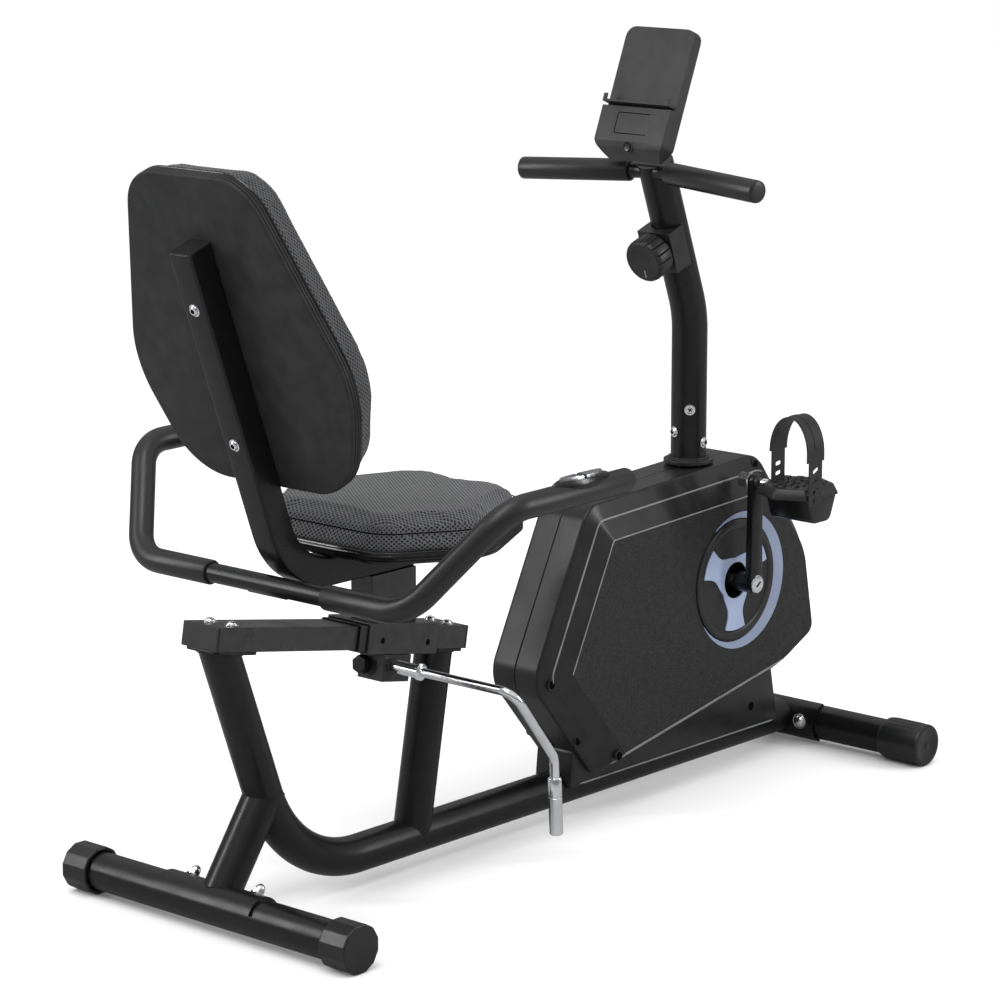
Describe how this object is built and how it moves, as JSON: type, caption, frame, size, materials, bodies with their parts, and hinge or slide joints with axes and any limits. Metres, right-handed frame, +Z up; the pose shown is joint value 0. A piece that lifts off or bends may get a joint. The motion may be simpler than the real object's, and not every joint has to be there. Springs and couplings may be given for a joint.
{
  "type": "recumbent exercise bike",
  "caption": "Recumbent magnetic exercise bike with a sliding seat on a sloping rail, side grips, a mesh backrest, a closed flywheel housing and a console on a leaning post.",
  "frame": {"origin": "on the floor, in the middle of the overall length and width", "axes": "+X towards the console and front floor tube, +Y the rider's left, +Z up"},
  "size_m": [1.2459, 0.664, 1.0598],
  "materials": {
    "steel": "satin black powder coat on steel tube",
    "plastic": "satin black moulded plastic",
    "dark": "fine-ribbed black plastic",
    "foam": "closed-cell black foam sleeve",
    "fabric": "coarse dark grey air mesh over foam",
    "chrome": "bright chrome plate",
    "bare": "machined steel",
    "trim": "pale blue-grey moulded trim",
    "rubber": "black rubber"
  },
  "bodies": {
    "frame": {"main_tube": "steel", "rear_brace": "steel", "seat_column": "steel", "seat_rail": "steel", "rail_cap_rear": "plastic", "rail_cap_front": "plastic", "rear_stabilizer": "steel", "rear_cap_right": "rubber", "rear_cap_left": "rubber", "front_stabilizer": "steel", "front_cap_right": "rubber", "front_cap_left": "rubber", "mast": "steel", "bb_shell": "steel", "bb_cartridge": "bare", "flywheel_fork": "steel", "front_post": "steel", "post_collar": "plastic", "handlebar": "steel", "handlebar_grip_right": "foam", "handlebar_grip_left": "foam", "console_case": "plastic", "tension_saddle": "plastic", "tension_cable": "rubber", "drive_belt": "rubber", "housing_right": "plastic", "housing_left": "plastic", "crank_disc_right": "trim", "crank_disc_left": "trim"},
    "seat": {"carriage": "steel", "carriage_liner": "plastic", "lock_block": "plastic", "lock_knob": "plastic", "seat_post": "steel", "seat_bracket": "steel", "seat_board": "plastic", "seat_cushion": "fabric", "back_board": "plastic", "back_cushion": "fabric", "grip_bar": "steel", "grip_sleeve_right": "foam", "grip_sleeve_left": "foam", "pulse_sensor_right": "dark", "pulse_sensor_left": "dark"},
    "lever": {"seat_lever": "chrome"},
    "knob": {"tension_knob": "dark"},
    "button": {"mode_button": "dark"},
    "brake": {"magnet_bracket": "bare"},
    "flywheel": {"flywheel": "bare", "flywheel_axle": "bare"},
    "cranks": {"crank_axle": "bare", "drive_pulley": "plastic", "crank_right": "steel", "crank_left": "steel", "pedal_spindle_right": "chrome", "pedal_spindle_left": "chrome"},
    "pedal_right": {"pedal_right": "plastic", "pedal_strap_right": "rubber"},
    "pedal_left": {"pedal_left": "plastic", "pedal_strap_left": "rubber"}
  },
  "joints": [
    {"name": "seat_slide", "type": "slide", "parent": "frame", "child": "seat", "axis": [0.984, 0, -0.1781], "range_m": [-0.165, 0.006]},
    {"name": "seat_lever_lift", "type": "hinge", "parent": "seat", "child": "lever", "pos_m": [-0.297, -0.05, 0.2875], "axis": [0, -1, 0], "range_deg": [0, 75]},
    {"name": "flywheel_spin", "type": "hinge", "parent": "frame", "child": "flywheel", "pos_m": [0.164, 0, 0.25], "axis": [0, 1, 0], "continuous": true},
    {"name": "crank_spin", "type": "hinge", "parent": "frame", "child": "cranks", "pos_m": [0.385, 0, 0.2815], "axis": [0, 1, 0], "continuous": true},
    {"name": "pedal_right_spin", "type": "hinge", "parent": "cranks", "child": "pedal_right", "pos_m": [0.385, -0.167, 0.4285], "axis": [0, 1, 0], "continuous": true},
    {"name": "pedal_left_spin", "type": "hinge", "parent": "cranks", "child": "pedal_left", "pos_m": [0.385, 0.167, 0.1345], "axis": [0, 1, 0], "continuous": true},
    {"name": "magnet_swing", "type": "hinge", "parent": "frame", "child": "brake", "pos_m": [0.275, 0, 0.3], "axis": [0, 1, 0], "range_deg": [0, 9]},
    {"name": "tension_turn", "type": "hinge", "parent": "frame", "child": "knob", "pos_m": [0.2592, 0, 0.7481], "axis": [-0.9385, 0, -0.3453], "range_deg": [0, 315]},
    {"name": "mode_press", "type": "slide", "parent": "frame", "child": "button", "axis": [0.9999, 0, -0.014], "range_m": [0, 0.0015], "stiffness_N_per_m": 400}
  ],
  "couplings": [
    {"joint": "crank_spin", "follows": "flywheel_spin", "ratio": 0.14737},
    {"joint": "tension_turn", "follows": "magnet_swing", "ratio": 35}
  ]
}
